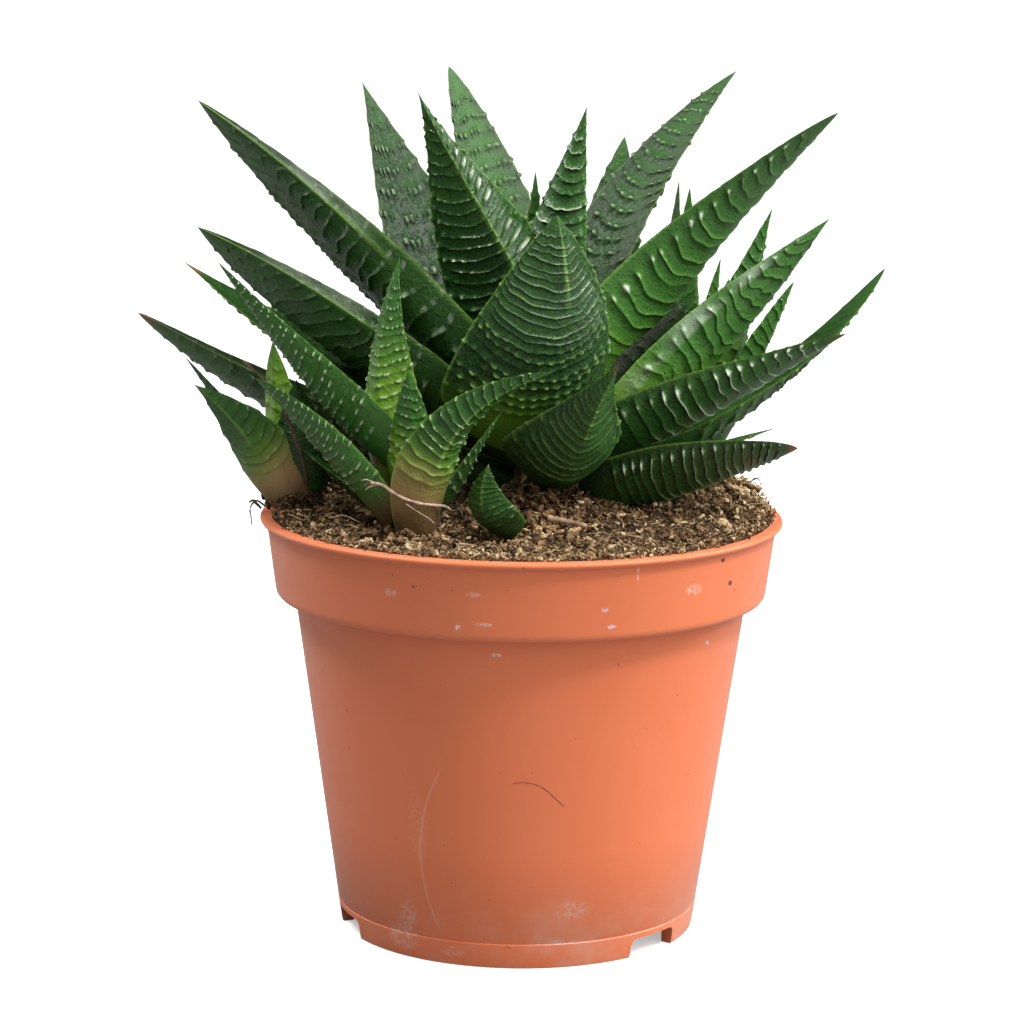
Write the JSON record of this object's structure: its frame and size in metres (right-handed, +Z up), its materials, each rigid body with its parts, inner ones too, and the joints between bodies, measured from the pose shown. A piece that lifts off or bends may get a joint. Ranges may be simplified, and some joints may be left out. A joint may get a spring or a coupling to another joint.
{
  "type": "potted haworthia",
  "caption": "Ridged, pointed succulent rosette with smaller side rosettes, standing in a soil-filled nursery pot with a wide collar.",
  "frame": {"origin": "middle of the pot's foot, at the level that it stands on", "axes": "+Z up along the pot's axis, -Y towards the viewer of the front, +X to that viewer's right"},
  "size_m": [0.1525, 0.1055, 0.1715],
  "materials": {
    "pot_plastic": "satin terracotta-coloured plastic",
    "soil": "loose peat and coir crumbs",
    "stem": "dull plant stem",
    "leaf_dark": "waxy, glossy dark green leaf with paler ridges",
    "leaf_young": "waxy, glossy mid green leaf with paler ridges"
  },
  "bodies": {
    "root": {"pot": "pot_plastic", "soil": "soil", "main_stem": "stem", "left_pup_stem": "stem", "front_pup_stem": "stem", "right_pup_stem": "stem", "shoot_stem": "stem", "main_leaf_01": "leaf_dark", "main_leaf_02": "leaf_dark", "main_leaf_03": "leaf_dark", "main_leaf_04": "leaf_dark", "main_leaf_05": "leaf_dark", "main_leaf_06": "leaf_dark", "main_leaf_07": "leaf_dark", "main_leaf_08": "leaf_dark", "main_leaf_09": "leaf_dark", "main_leaf_10": "leaf_dark", "main_leaf_11": "leaf_dark", "main_leaf_12": "leaf_dark", "main_leaf_13": "leaf_dark", "main_leaf_14": "leaf_dark", "main_leaf_15": "leaf_dark", "main_leaf_16": "leaf_dark", "main_leaf_17": "leaf_dark", "main_leaf_18": "leaf_dark", "main_leaf_19": "leaf_dark", "main_leaf_20": "leaf_dark", "main_leaf_21": "leaf_dark", "main_leaf_22": "leaf_dark", "front_pup_leaf_1": "leaf_young", "front_pup_leaf_2": "leaf_young", "front_pup_leaf_3": "leaf_young", "front_pup_leaf_4": "leaf_young", "front_pup_leaf_5": "leaf_young", "front_pup_leaf_6": "leaf_young", "front_pup_leaf_7": "leaf_young", "left_pup_leaf_1": "leaf_young", "left_pup_leaf_2": "leaf_young", "left_pup_leaf_3": "leaf_young", "left_pup_leaf_4": "leaf_young", "right_pup_leaf_1": "leaf_young", "right_pup_leaf_2": "leaf_young", "right_pup_leaf_3": "leaf_young", "right_pup_leaf_4": "leaf_young", "right_pup_leaf_5": "leaf_young", "right_pup_leaf_6": "leaf_young", "shoot_leaf": "leaf_young"}
  },
  "joints": []
}
